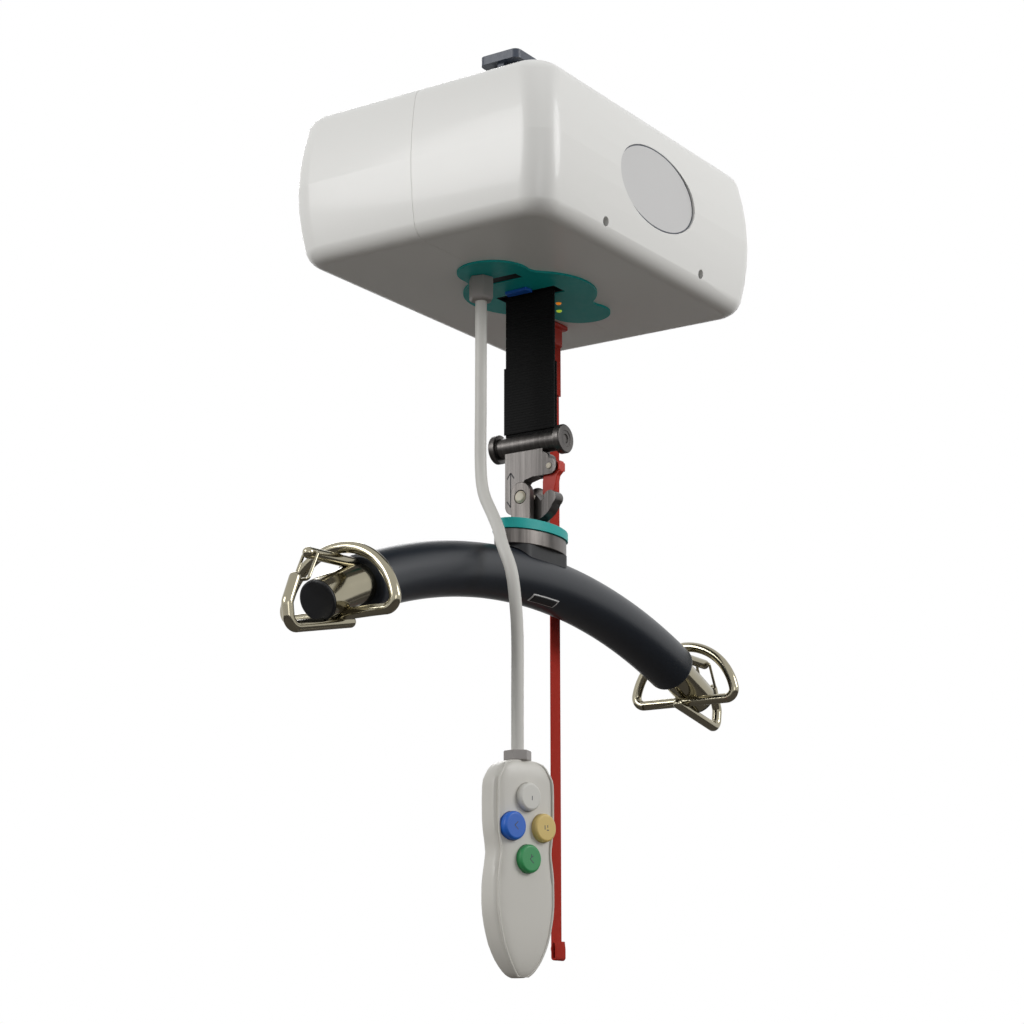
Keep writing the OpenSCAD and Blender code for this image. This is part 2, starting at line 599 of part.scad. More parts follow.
module end_cap() difference() {
    translate([arc_pt(tube_x)[0], 0, arc_pt(tube_x)[1]]) rotate([0, 90 + tube_a, 0]) {
        translate([0, 0, -8]) cylinder(d = tube_d - 2 * tube_wall - 0.2, h = 8);
        cylinder(d = tube_d - 0.6, h = 1.8);
        translate([0, 0, 1.8]) cylinder(d1 = tube_d - 0.6, d2 = tube_d - 4, h = 1);
    }
    in_xz() bent_rod([hook_pts[0], hook_pts[1]], 8, rod_d + 0.4);
}
module end_cap_a() color("#2A2C2F") under() end_cap();
module end_cap_b() color("#2A2C2F") under() mirror([1, 0, 0]) end_cap();

// wire gate: a closed loop of wire through the pivot hole of the eye rod
gate_bend = 2;
gate_y = rod_d / 2 + gap + gate_bend;
gate_l = norm(gate_tip - eye_pivot);
module wire_gate() translate([eye_pivot[0], 0, eye_pivot[1]])
    rotate([0, 90 - atan2(gate_tip[1] - eye_pivot[1], gate_tip[0] - eye_pivot[0]), 0])
        rotate([0, 0, 90]) rotate([90, 0, 0])
            for (s = [0, 1]) mirror([s, 0, 0])
                bent_rod([[0, 0], [gate_y, 0], [gate_y, gate_l], [0, gate_l]], gate_bend, wire_d);
module wire_gate_a() color("#D5D2C6") under() wire_gate();
module wire_gate_b() color("#D5D2C6") under() mirror([1, 0, 0]) wire_gate();

trolley_frame();
axle(1);  // axle_a
axle(-1);  // axle_b
wheel(1, -1);  // wheel_af
wheel(1, 1);  // wheel_ar
wheel(-1, -1);  // wheel_bf
wheel(-1, 1);  // wheel_br
pivot_pin();
pivot_collar();
cover_front();
cover_rear();
badge();
accent_plate();
vent_insert();
strap_guide();
color("#E0862A") lamp(0);  // lamp_orange
color("#A8C43A") lamp(1);  // lamp_green
gland();
handset_cable();
handset_nut();
handset_shell();
color("#D8D7D2") button(0);  // button_top
color("#2E6DB8") button(1);  // button_blue
color("#D9C27E") button(2);  // button_yellow
color("#3A9A5C") button(3);  // button_green
pull_anchor();
pull_strap();
lift_strap();
strap_roller();
hook_plate();
latch_pin();
safety_latch();
fork();
fork_pin();
swivel_ring();
swivel_housing();
bar_saddle();
foam_cover();
bar_tube();
end_fitting_a();
end_fitting_b();
end_cap_a();
end_cap_b();
wire_gate_a();
wire_gate_b();
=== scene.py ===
"""Dresses the ceiling track hoist: finishes for its solids, straps, foam sleeve, cable and small marks."""
import json
import math

import bmesh
import bpy
from bpy.props import FloatProperty, FloatVectorProperty, IntProperty, PointerProperty
from mathutils import Matrix, Vector


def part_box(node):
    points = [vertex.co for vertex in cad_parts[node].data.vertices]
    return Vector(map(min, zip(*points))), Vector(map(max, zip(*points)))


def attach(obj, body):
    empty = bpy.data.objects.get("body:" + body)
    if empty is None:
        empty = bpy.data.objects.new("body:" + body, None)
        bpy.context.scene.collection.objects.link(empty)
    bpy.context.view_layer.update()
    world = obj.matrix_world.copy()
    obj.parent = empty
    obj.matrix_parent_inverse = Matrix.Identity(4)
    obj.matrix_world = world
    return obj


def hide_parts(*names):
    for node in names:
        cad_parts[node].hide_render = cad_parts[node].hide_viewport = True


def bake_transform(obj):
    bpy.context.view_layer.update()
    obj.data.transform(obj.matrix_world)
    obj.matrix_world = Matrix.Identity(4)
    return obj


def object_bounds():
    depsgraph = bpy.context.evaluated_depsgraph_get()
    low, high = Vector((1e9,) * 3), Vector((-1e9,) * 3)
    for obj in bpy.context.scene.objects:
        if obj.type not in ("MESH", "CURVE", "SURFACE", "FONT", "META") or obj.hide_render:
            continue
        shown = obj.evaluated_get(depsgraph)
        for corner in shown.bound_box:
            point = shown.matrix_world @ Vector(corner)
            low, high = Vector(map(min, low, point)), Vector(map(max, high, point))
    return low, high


bl_info = {
    "name": "Ceiling Track Hoist",
    "version": (1, 0, 0),
    "blender": (4, 5, 0),
    "location": "3D View > Sidebar > Hoist",
    "description": "Dresses the solids of a ceiling track hoist with finishes, straps, foam and cable",
    "category": "Object",
}

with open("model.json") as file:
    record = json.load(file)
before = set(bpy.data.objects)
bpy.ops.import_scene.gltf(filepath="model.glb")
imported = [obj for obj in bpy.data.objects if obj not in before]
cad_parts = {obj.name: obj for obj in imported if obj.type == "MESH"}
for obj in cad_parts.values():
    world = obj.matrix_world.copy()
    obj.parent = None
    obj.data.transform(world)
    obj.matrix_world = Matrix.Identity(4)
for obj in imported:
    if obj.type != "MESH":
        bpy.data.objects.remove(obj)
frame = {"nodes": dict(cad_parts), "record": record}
CAD_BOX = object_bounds()
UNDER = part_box("cover_front")[0].z

MERGE = 0.000004  # corners nearer than this are one
FLAT = math.radians(0.6)  # faces that turn less than this are one


def rgb(code):
    """A written colour as linear values."""
    out = []
    for i in (1, 3, 5):
        c = int(code[i:i + 2], 16) / 255
        out.append(c / 12.92 if c <= 0.04045 else ((c + 0.055) / 1.055) ** 2.4)
    return tuple(out)


def at(x, y, z):
    """A place in the frame, from millimetres with Z measured from the cassette's underside."""
    return Vector((x / 1000, y / 1000, UNDER + z / 1000))


# ---------------------------------------------------------------- finishes
class Value:
    """A shader socket that stands in Python expressions."""

    def __init__(self, finish, socket):
        self.finish, self.socket = finish, socket

    def op(self, name, a, b=None):
        inputs = {0: a} if b is None else {0: a, 1: b}
        return Value(self.finish, self.finish.node("ShaderNodeMath", {"operation": name}, inputs).outputs[0])

    def __add__(self, o):
        return self.op("ADD", self, o)

    def __mul__(self, o):
        return self.op("MULTIPLY", self, o)

    def __sub__(self, o):
        return self.op("SUBTRACT", self, o)

    def __rsub__(self, o):
        return self.op("SUBTRACT", o, self)

    def sine(self):
        return self.op("SINE", self)


class Finish:
    """Builds one material's nodes."""

    def __init__(self, name):
        self.material = bpy.data.materials.new(name)
        self.material.use_nodes = True
        self.tree = self.material.node_tree
        self.shader = self.tree.nodes["Principled BSDF"]

    def node(self, kind, settings=None, inputs=None):
        made = self.tree.nodes.new(kind)
        for key, value in (settings or {}).items():
            setattr(made, key, value)
        for key, value in (inputs or {}).items():
            if isinstance(value, Value):
                self.tree.links.new(value.socket, made.inputs[key])
            else:
                made.inputs[key].default_value = value
        return made

    def coords(self, scale=(1, 1, 1), turn=(0, 0, 0)):
        place = Value(self, self.node("ShaderNodeTexCoord").outputs["Object"])
        mapping = self.node("ShaderNodeMapping", {}, {"Vector": place, "Scale": scale, "Rotation": turn})
        return Value(self, mapping.outputs[0])

    def axis(self, name):
        split = self.node("ShaderNodeSeparateXYZ", {}, {0: self.coords()})
        return Value(self, split.outputs[name])

    def noise(self, scale, detail=2.0, stretch=(1, 1, 1), turn=(0, 0, 0)):
        inputs = {"Vector": self.coords(stretch, turn), "Scale": scale, "Detail": detail}
        made = self.node("ShaderNodeTexNoise", {}, inputs)
        return Value(self, made.outputs["Fac"])

    def blend(self, share, a, b):
        a, b = ((*c, 1) if isinstance(c, tuple) else c for c in (a, b))
        made = self.node("ShaderNodeMix", {"data_type": "RGBA"}, {0: share, 6: a, 7: b})
        return Value(self, made.outputs[2])

    def bump(self, height, depth, strength=1.0):
        made = self.node("ShaderNodeBump", {}, {"Height": height, "Distance": depth, "Strength": strength})
        self.set("Normal", Value(self, made.outputs[0]))

    def set(self, name, value):
        if isinstance(value, Value):
            self.tree.links.new(value.socket, self.shader.inputs[name])
        elif isinstance(value, tuple) and len(value) == 3:
            self.shader.inputs[name].default_value = (*value, 1)
        else:
            self.shader.inputs[name].default_value = value


def darker(colour, share):
    return tuple(c * share for c in colour)


def moulded(name, code, rough=0.45, grain=0.00004, coat=0.0, drift=0.94, gloss=0.5, mottle=0.14):
    """Moulded plastic with fine grain and a little drift of colour."""
    f = Finish(name)
    colour = rgb(code)
    f.set("Base Color", f.blend(f.noise(9.0, 3.0), darker(colour, drift), colour))
    f.set("Roughness", f.noise(160.0, 3.0) * mottle + (rough - mottle / 2))
    f.set("Specular IOR Level", gloss)
    f.set("Coat Weight", coat)
    f.set("Coat Roughness", 0.1)
    if grain:
        f.bump(f.noise(1400.0, 2.0), grain)
    return f.material


def plated(name, code, rough=0.16, streak=(1, 1, 1)):
    """Bright plated metal with faint polishing marks."""
    f = Finish(name)
    colour = rgb(code)
    f.set("Metallic", 1.0)
    f.set("Base Color", f.blend(f.noise(26.0, 4.0), darker(colour, 0.8), colour))
    f.set("Roughness", f.noise(120.0, 2.0, streak) * 0.06 + (rough - 0.03))
    return f.material


def brushed(name, code, rough=0.36, streak=(1, 1, 24)):
    """Brushed metal: long fine lines across the part."""
    f = Finish(name)
    colour = rgb(code)
    lines = f.noise(130.0, 5.0, streak)
    bands = f.noise(42.0, 3.0, streak)
    f.set("Metallic", 0.9)
    marks = (lines * 0.45 + bands * 0.55 - 0.5) * 2.6 + 0.5
    bright = tuple(min(1.0, c * 1.25) for c in colour)
    f.set("Base Color", f.blend(marks, darker(colour, 0.45), bright))
    f.set("Roughness", lines * 0.26 + (rough - 0.1))
    f.bump(lines, 0.00006)
    return f.material


def webbing(name, code, rib=0.0012, warp=0.0016, across="X", low=0.55):
    """Woven webbing: crosswise ribs with lengthwise yarns."""
    f = Finish(name)
    colour = rgb(code)
    ribs = (f.axis("Z") * (2 * math.pi / rib)).sine() * 0.5 + 0.5
    yarns = (f.axis(across) * (2 * math.pi / warp)).sine() * 0.5 + 0.5
    weave = ribs * 0.82 + yarns * 0.18
    fuzz = f.noise(700.0, 3.0)
    f.set("Base Color", f.blend(weave * 0.8 + fuzz * 0.2, darker(colour, low), colour))
    f.set("Roughness", 0.95 - fuzz * 0.25)
    f.set("Specular IOR Level", 0.2)
    f.bump(weave + fuzz * 0.4, 0.00025)
    return f.material


def foam_rubber(name, code):
    """Closed-cell foam sleeve: satin skin with fine pores and soft creases, with painted shade darkening the hollows
    of the creases.
    """
    f = Finish(name)
    colour = rgb(code)
    pores = f.noise(1100.0, 2.0)
    creases_and_shade = f.noise(34.0, 4.0, (1, 1, 2))
    # painted shade: the base colour darkens where the crease bump lies low
    f.set("Base Color", f.blend(creases_and_shade, darker(colour, 0.82), colour))
    f.set("Roughness", pores * 0.08 + creases_and_shade * 0.06 + 0.3)
    f.set("Specular IOR Level", 0.4)
    f.bump(pores * 0.2 + creases_and_shade, 0.00006)
    return f.material


def lamp_lens(name, code):
    """Small lit lens."""
    f = Finish(name)
    colour = rgb(code)
    f.set("Base Color", f.blend(f.noise(900.0), darker(colour, 0.8), colour))
    f.set("Roughness", 0.2)
    f.set("Emission Color", colour)
    f.set("Emission Strength", 0.5)
    return f.material


FINISHES = {}


def make_finishes():
    s = bpy.context.scene.hoist_looks
    shell = "#%02x%02x%02x" % tuple(round(c * 255) for c in s.shell_colour)
    FINISHES.update({
        "frame_dark": moulded("powder_coat", "#343B48", 0.42, 0.00006),
        "steel": brushed("turned_steel", "#B9BBBD", 0.3, (1, 1, 4)),
        "nylon": moulded("wheel_nylon", "#E6E2D6", 0.5),
        "cover_white": moulded("cover_gloss", shell, 0.38, 0.0, 0.16, 0.985, 0.4, 0.02),
        "badge_grey": moulded("badge_plate", "#D2D1CF", 0.35),
        "teal": moulded("teal_plastic", "#10A6A0", 0.46, 0.00004, 0.0, 0.94, 0.3),
        "black_plastic": moulded("black_plastic", "#101114", 0.5, 0.00004, 0.0, 0.94, 0.35),
        "blue_plastic": moulded("blue_plastic", "#1B62C4", 0.42),
        "lamp_orange": lamp_lens("orange_lens", "#E8861F"),
        "lamp_green": lamp_lens("green_lens", "#B4D23A"),
        "gland_grey": moulded("gland_plastic", "#97928E", 0.48),
        "cable_grey": moulded("cable_sheath", "#CFCDC6", 0.5),
        "handset_grey": moulded("handset_plastic", "#D3D0C7", 0.42, 0.00003),
        "button_pale": moulded("pale_button", "#D6D4CC", 0.42),
        "button_yellow": moulded("yellow_button", "#D9BE72", 0.42),
        "button_green": moulded("green_button", "#2F9152", 0.42),
        "red_plastic": moulded("red_plastic", "#BE2F1C", 0.42, 0.00004, 0.0, 0.94, 0.35),
        "red_webbing": webbing("red_webbing", "#C8382A", 0.0009, 0.0013, "X"),
        "black_webbing": webbing("black_webbing", "#0B0B0B", s.rib, 0.0012, "Y", 0.15),
        "dark_steel": brushed("dark_steel", "#5A5755", 0.34, (1, 9, 0.2)),
        "cream_steel": moulded("cream_pin", "#CFC5B0", 0.38),
        "fork_steel": brushed("fork_steel", "#64605D", 0.34, (1, 9, 0.2)),
        "foam": foam_rubber("foam_sleeve", "#0D151F"),
        "chrome": plated("tube_chrome", "#BFC0C0", 0.12),
        "nickel": plated("nickel_rods", "#A09A86", 0.14),
    })


# ---------------------------------------------------------------- making pieces
def verts_of(geom):
    return [g for g in geom if isinstance(g, bmesh.types.BMVert)]


def faces_of(geom):
    return [g for g in geom if isinstance(g, bmesh.types.BMFace)]


def everything(bm):
    return bm.verts[:] + bm.edges[:] + bm.faces[:]


def clamp(value):
    return max(0.0, min(1.0, value))


def copy_of(node):
    """A solid's mesh with its doubled corners merged."""
    bm = bmesh.new()
    bm.from_mesh(frame["nodes"][node].data)
    bmesh.ops.remove_doubles(bm, verts=bm.verts, dist=MERGE)
    return bm


def join_flat(bm):
    """Joins neighbouring faces that lie in one plane."""
    bmesh.ops.dissolve_limit(bm, angle_limit=FLAT, verts=bm.verts, edges=bm.edges)


def thicken(bm, faces, move):
    """Gives faces thickness along a move, with all normals outwards."""
    grown = bmesh.ops.extrude_face_region(bm, geom=faces)["geom"]
    bmesh.ops.translate(bm, vec=move, verts=verts_of(grown))
    bmesh.ops.recalc_face_normals(bm, faces=bm.faces)


def piece(name, bm, body, slot, shade=35.0):
    """Turns a bmesh into a piece that rides on a body and has that slot's finish."""
    for face in bm.faces:
        face.smooth = True
    for edge in bm.edges:
        folded = len(edge.link_faces) == 2 and edge.calc_face_angle() > math.radians(shade)
        edge.smooth = not folded
    mesh = bpy.data.meshes.new(name)
    bm.to_mesh(mesh)
    bm.free()
    made = bpy.data.objects.new(name, mesh)
    bpy.context.scene.collection.objects.link(made)
    made.data.materials.append(FINISHES[slot])
    if body:
        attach(made, body)
    return made


def soften(made, width, segments=3):
    """A live bevel on the sharp edges."""
    mod = made.modifiers.new("edges", "BEVEL")
    mod.width, mod.segments, mod.limit_method = width, segments, "ANGLE"
    mod.angle_limit = math.radians(32)
    flat = made.modifiers.new("normals", "WEIGHTED_NORMAL")
    flat.mode, flat.weight, flat.keep_sharp = "FACE_AREA", 80, False
    return made


SLEEVE_BEND, SLEEVE_OUT, SLEEVE_IN = 0.665, 0.0225, 0.016


def bar_centre():
    """Centre of the curve that the spreader bar follows."""
    return Vector((0, 0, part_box("bar_tube")[1].z - SLEEVE_IN - SLEEVE_BEND))


def body_of_node(node):
    for body, members in frame["record"]["behaviour"]["bodies"].items():
        if node in members:
            return body


def dress(node, slot, bevel=0.0006, shade=32.0):
    """Stands a smooth, softened copy of a solid in its place."""
    bm = copy_of(node)
    join_flat(bm)
    made = piece(node + "_skin", bm, body_of_node(node), slot, shade)
    if bevel:
        soften(made, bevel)
    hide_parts(node)
    return made


def placed(bm, turn, place):
    bmesh.ops.transform(bm, matrix=Matrix.Translation(place) @ turn.to_4x4(), verts=bm.verts)


def turned_part(profile, place, axis, steps=48):
    """A lathed solid from (along, radius) points, with both ends on the axis."""
    bm = bmesh.new()
    line = [bm.verts.new((radius, 0, along)) for along, radius in profile]
    edges = [bm.edges.new(pair) for pair in zip(line, line[1:])]
    bmesh.ops.spin(bm, geom=line + edges, cent=(0, 0, 0), axis=(0, 0, 1),
                   angle=2 * math.pi, steps=steps, use_merge=True)
    bmesh.ops.remove_doubles(bm, verts=bm.verts, dist=MERGE)
    placed(bm, Vector((0, 0, 1)).rotation_difference(Vector(axis)).to_matrix(), Vector(place))
    bmesh.ops.recalc_face_normals(bm, faces=bm.faces)
    return bm


def plate_part(outline, thick, place, across, up):
    """A flat plate from an outline of (across, up) points, thick along their cross."""
    bm = bmesh.new()
    depth = across.cross(up)
    corners = [place + across * a + up * b - depth * (thick / 2) for a, b in outline]
    flat = bm.faces.new([bm.verts.new(corner) for corner in corners])
    thicken(bm, [flat], depth * thick)
    return bm


def six_sided(radius, steps):
    """A nut hanging from the origin: each step goes down by a length and scales the section by a share."""
    bm = bmesh.new()
    bmesh.ops.create_circle(bm, cap_ends=True, segments=6, radius=radius)
    ends, depth = bm.faces[:], 0
    for length, share in steps:
        grown = bmesh.ops.extrude_face_region(bm, geom=ends)["geom"]
        if depth:
            bmesh.ops.delete(bm, geom=ends, context="FACES_ONLY")
        ends, verts = faces_of(grown), verts_of(grown)
        bmesh.ops.translate(bm, vec=(0, 0, -length), verts=verts)
        bmesh.ops.scale(bm, vec=(share, share, 1), verts=verts)
        depth += length
    bmesh.ops.recalc_face_normals(bm, faces=bm.faces)
    return bm


def block(bm, low, high):
    """A box between two corners."""
    low, high = Vector(low), Vector(high)
    for v in bmesh.ops.create_cube(bm, size=1.0)["verts"]:
        v.co = Vector([(v.co[i] + 0.5) * (high[i] - low[i]) for i in range(3)]) + low


def carved(node, low, high, slot, bevel, shade=32.0):
    """A softened copy of a solid with a box cut out of it."""
    bm = copy_of(node)
    whole = bpy.data.meshes.new("whole")
    bm.to_mesh(whole)
    bm.clear()
    block(bm, low, high)
    tool = bpy.data.meshes.new("tool")
    bm.to_mesh(tool)
    bm.free()
    kept, cutter = bpy.data.objects.new("whole", whole), bpy.data.objects.new("tool", tool)
    for made in (kept, cutter):
        bpy.context.scene.collection.objects.link(made)
    cut = kept.modifiers.new("cut", "BOOLEAN")
    cut.operation, cut.solver, cut.object = "DIFFERENCE", "EXACT", cutter
    bm = bmesh.new()
    bm.from_object(kept, bpy.context.evaluated_depsgraph_get())
    for made in (kept, cutter):
        bpy.data.objects.remove(made)
    bmesh.ops.remove_doubles(bm, verts=bm.verts, dist=MERGE)
    join_flat(bm)
    made = piece(node + "_skin", bm, body_of_node(node), slot, shade)
    soften(made, bevel)
    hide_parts(node)
    return made


def strap_section(bm, centre, width, thick, across, through):
    """The rounded cross-section of a strap as one face."""
    made = bmesh.ops.create_grid(bm, x_segments=1, y_segments=1, size=0.5)
    turned = Matrix((across, through, across.cross(through))).transposed()
    for v in made["verts"]:
        v.co = turned @ Vector((v.co.x * width, v.co.y * thick, 0)) + centre
    bmesh.ops.bevel(bm, geom=made["verts"], offset=thick * 0.42, segments=3, profile=0.5,
                    affect="VERTICES", material=-1)
    return bm.faces[:]


class Run:
    """Draws a cross-section along straight and curved stretches, and keeps its middle line."""

    def __init__(self, bm, faces, centre, heading):
        self.bm, self.faces = bm, faces
        self.centre, self.heading = centre.copy(), heading.copy()
        self.line = [centre.copy()]

    def straight(self, length, steps=1):
        for _ in range(steps):
            move = self.heading * (length / steps)
            made = bmesh.ops.extrude_face_region(self.bm, geom=self.faces)["geom"]
            bmesh.ops.delete(self.bm, geom=self.faces if len(self.line) > 1 else [], context="FACES_ONLY")
            bmesh.ops.translate(self.bm, vec=move, verts=verts_of(made))
            self.faces = faces_of(made)
            self.centre += move
            self.line.append(self.centre.copy())

    def curve(self, side, radius, degrees, steps=6):
        axis = self.heading.cross(side).normalized()
        pivot = self.centre + side * radius
        for _ in range(steps):
            angle = math.radians(degrees / steps)
            made = bmesh.ops.extrude_face_region(self.bm, geom=self.faces)["geom"]
            bmesh.ops.delete(self.bm, geom=self.faces, context="FACES_ONLY")
            turn = Matrix.Rotation(angle, 3, axis)
            bmesh.ops.rotate(self.bm, cent=pivot, matrix=turn, verts=verts_of(made))
            self.faces = faces_of(made)
            self.centre = pivot + turn @ (self.centre - pivot)
            self.heading = turn @ self.heading
            self.line.append(self.centre.copy())


def tube(name, points, radius, resolution, slot, closed=False):
    """A round tube along points, as a curve; an open one has its ends filled."""
    data = bpy.data.curves.new(name, "CURVE")
    data.dimensions = "3D"
    data.bevel_depth, data.bevel_resolution, data.use_fill_caps = radius, resolution, not closed
    spline = data.splines.new("POLY")
    spline.points.add(len(points) - 1)
    for point, place in zip(spline.points, points):
        point.co = (*place, 1)
    spline.use_cyclic_u = closed
    spline.use_smooth = True
    made = bpy.data.objects.new(name, data)
    bpy.context.scene.collection.objects.link(made)
    data.materials.append(FINISHES[slot])
    return made


class HOIST_Looks(bpy.types.PropertyGroup):
    shell_colour: FloatVectorProperty(
        name="Cover colour", description="Colour of the two cassette covers",
        subtype="COLOR_GAMMA", size=3, min=0, max=1, default=(0.925, 0.922, 0.902))
    rib: FloatProperty(
        name="Webbing rib", description="Pitch of the ribs across the lifting strap",
        default=0.0024, min=0.0008, max=0.004, unit="LENGTH")
    sleeve_sides: IntProperty(
        name="Sleeve sides", description="Faces round the foam sleeve", default=48, min=16, max=96)
    key_power: FloatProperty(
        name="Key light", description="Power of the main soft light", default=46.0, min=0, max=200)


# cable nuts as (length down, share of the section) steps, and the places of the two cover wells
GLAND_STEPS = ((0.0012, 1.06), (0.0165, 1.0), (0.0016, 0.96), (0.0014, 0.86), (0.0004, 0.7))
NUT_STEPS = ((0.0012, 1.03), (0.0062, 1.0), (0.0006, 0.96))
GLAND_TURN = 14
WELL_X, WELL_Y, WELL_UP = 0.078, -0.1210, 0.015

# dark sleeve of painted shade lining a cover well, and the screw in it, as (along, radius) points
WELL_SHADE_SLEEVE = [(0, 0.0036), (0, 0.0039), (0.012, 0.0039), (0.012, 0.0036), (0, 0.0036)]
WELL_SCREW = [(0.0045, 0), (0.0045, 0.0014), (0.0032, 0.0014), (0.0030, 0.0026), (0.0036, 0.0031),
              (0.009, 0.0031), (0.009, 0)]

# slot that the lifting strap leaves by: half width, half depth, the thickness of the dark walls painted in it as
# shade, and its reach below and above the underside
SLOT_WIDE, SLOT_DEEP, SLOT_WALL, SLOT_LOW, SLOT_TOP = 0.0068, 0.0300, 0.0007, -0.0018, 0.022


class HOIST_OT_covers(bpy.types.Operator):
    """Dress the cassette: covers, badge, coloured plate, lamps and gland"""
    bl_idname = "hoist.covers"
    bl_label = "Cassette"

    def execute(self, context):
        for node in ("cover_front", "cover_rear"):
            dress(node, "cover_white", 0.0004, 24)
        dress("badge", "badge_grey", 0.0006)
        dress("accent_plate", "teal", 0.0007)
        dress("vent_insert", "black_plastic", 0.0003)
        low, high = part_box("strap_guide")
        outline = [(low.x, low.y + 0.001), (high.x, low.y), (high.x, high.y), (low.x + 0.0015, high.y - 0.0015)]
        middle = Vector((0, 0, (low.z + high.z) / 2 + 0.0006))
        guide = plate_part(outline, high.z - low.z - 0.0012, middle, Vector((1, 0, 0)), Vector((0, 1, 0)))
        made = soften(piece("guide_block", guide, "cassette", "blue_plastic", 30), 0.0005)
        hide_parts("strap_guide")
        dress("lamp_orange", "lamp_orange", 0.0002)
        dress("lamp_green", "lamp_green", 0.0002)
        dress("pivot_collar", "steel", 0.0005)
        self.gasket()
        self.badge_gap_shade()
        self.gland()
        for side in (-1, 1):
            self.well_screw(WELL_X * side)
        self.slot_shade_walls()
        return {"FINISHED"}

    def gasket(self):
        """Strip that fills the joint between the covers almost flush."""
        bm = copy_of("cover_front")
        cut = bmesh.ops.bisect_plane(bm, geom=everything(bm), plane_co=(0, -0.0008, 0),
                                     plane_no=(0, -1, 0), clear_outer=True)
        rim = [g for g in cut["geom_cut"] if isinstance(g, bmesh.types.BMEdge)]
        bmesh.ops.holes_fill(bm, edges=rim, sides=0)
        still_open = [e for e in rim if len(e.link_faces) < 2]
        bmesh.ops.triangle_fill(bm, edges=still_open, use_beauty=True)
        low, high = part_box("cover_front")
        middle = Vector(((low.x + high.x) / 2, 0, (low.z + high.z) / 2))
        for v in bm.verts:
            x = middle.x + (v.co.x - middle.x) * 0.9986
            z = middle.z + (v.co.z - middle.z) * 0.9968
            v.co = Vector((x, (v.co.y + 0.00055) * 0.96, z))
        bmesh.ops.recalc_face_normals(bm, faces=bm.faces)
        piece("cover_gasket", bm, "cassette", "cover_white", 24)

    def badge_gap_shade(self):
        """Dark line round the badge: painted shade standing for the shadow in the gap round it."""
        low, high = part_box("badge")
        mid = (low + high) / 2
        bm = bmesh.new()
        for inset in (0.0001, 0.0011):
            half_x, half_z = (high.x - low.x) / 2 - inset, (high.z - low.z) / 2 - inset
            for v in bmesh.ops.create_circle(bm, segments=96, radius=1.0)["verts"]:
                v.co = Vector((mid.x + v.co.x * half_x, low.y - 0.0001, mid.z + v.co.y * half_z))
        bmesh.ops.bridge_loops(bm, edges=bm.edges[:])
        thicken(bm, bm.faces[:], (0, 0.0004, 0))
        # painted shade: a dark ring over the badge's edge, where the gap falls in shadow
        piece("badge_painted_shade", bm, "cassette", "frame_dark", 40)

    def gland(self):
        """Slim six-sided cable nut with a domed lower edge."""
        low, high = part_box("gland")
        centre = (low + high) / 2
        bm = six_sided(0.0103, GLAND_STEPS)
        turn = Matrix.Rotation(math.radians(GLAND_TURN), 3, "Z")
        placed(bm, turn, Vector((centre.x, centre.y, high.z)))
        made = soften(piece("gland_nut", bm, "cassette", "gland_grey", 28), 0.0006)
        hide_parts("gland")

    def well_screw(self, x):
        """Dark sleeve lining a cover well as painted shade, with a socket screw at the bottom of the well."""
        place, end = (x, WELL_Y, UNDER + WELL_UP), "b" if x < 0 else "a"
        sleeve = turned_part(WELL_SHADE_SLEEVE, place, (0, 1, 0), 32)
        # painted shade: a thin dark tube lining the well
        piece("well_shade_sleeve_" + end, sleeve, "cassette", "frame_dark", 35)
        screw = turned_part(WELL_SCREW, place, (0, 1, 0), 32)
        piece("well_screw_" + end, screw, "cassette", "dark_steel", 35)

    def slot_shade_walls(self):
        """Dark walls inside the slot that the lifting strap leaves by, as painted shade."""
        bm = bmesh.new()
        wide, deep = SLOT_WIDE - SLOT_WALL, SLOT_DEEP - SLOT_WALL
        for low, high in (((-SLOT_WIDE, -SLOT_DEEP), (-wide, SLOT_DEEP)), ((wide, -SLOT_DEEP), (SLOT_WIDE, SLOT_DEEP)),
                          ((-wide, -SLOT_DEEP), (wide, -deep)), ((-wide, deep), (wide, SLOT_DEEP))):
            block(bm, (*low, UNDER + SLOT_LOW), (*high, UNDER + SLOT_TOP))
        # painted shade: thin dark walls lining the slot
        soften(piece("slot_painted_shade", bm, "cassette", "black_plastic", 30), 0.0002)


class HOIST_OT_trolley(bpy.types.Operator):
    """Dress the trolley: frame, axles, wheels and pivot"""
    bl_idname = "hoist.trolley"
    bl_label = "Trolley"

    def execute(self, context):
        dress("trolley_frame", "frame_dark", 0.0012)
        for node in ("axle_a", "axle_b", "pivot_pin"):
            dress(node, "steel", 0.0003)
        for node in ("wheel_af", "wheel_ar", "wheel_bf", "wheel_br"):
            dress(node, "nylon", 0.0005)
        return {"FINISHED"}


# latch blade in (along Y, up) from its pivot, its thickness, and the corners of its thumb lever
LATCH_OUTLINE = [(-0.0050, 0.0050), (0, 0.0068), (0.0050, 0.0050), (0.0066, 0), (0.0086, -0.0120), (0.0086, -0.0225),
                 (0.0064, -0.0252), (0.0010, -0.0255), (-0.0030, -0.0215), (-0.0062, -0.0080), (-0.0095, -0.0050),
                 (-0.0095, 0.0040), (-0.0068, 0.0045)]
LATCH_THICK = 0.0058
LEVER_LOW, LEVER_HIGH = Vector((-0.0048, -0.0096, -0.0045)), Vector((0.0048, -0.0080, 0.0030))

# slot in the hook plate for the blade, from the latch's pivot, and half the length of the latch's rivet
BLADE_SLOT_LOW, BLADE_SLOT_HIGH = Vector((-0.0032, -0.020, -0.012)), Vector((0.0032, 0.0122, 0.0082))
RIVET_HALF, RIVET_R = 0.0070, 0.0022


def both_ends(half, profile):
    """A lathe profile from its first half: each point is (inwards from the end, radius)."""
    first = [(inwards - half, radius) for inwards, radius in profile]
    return first + [(-along, radius) for along, radius in reversed(first)]


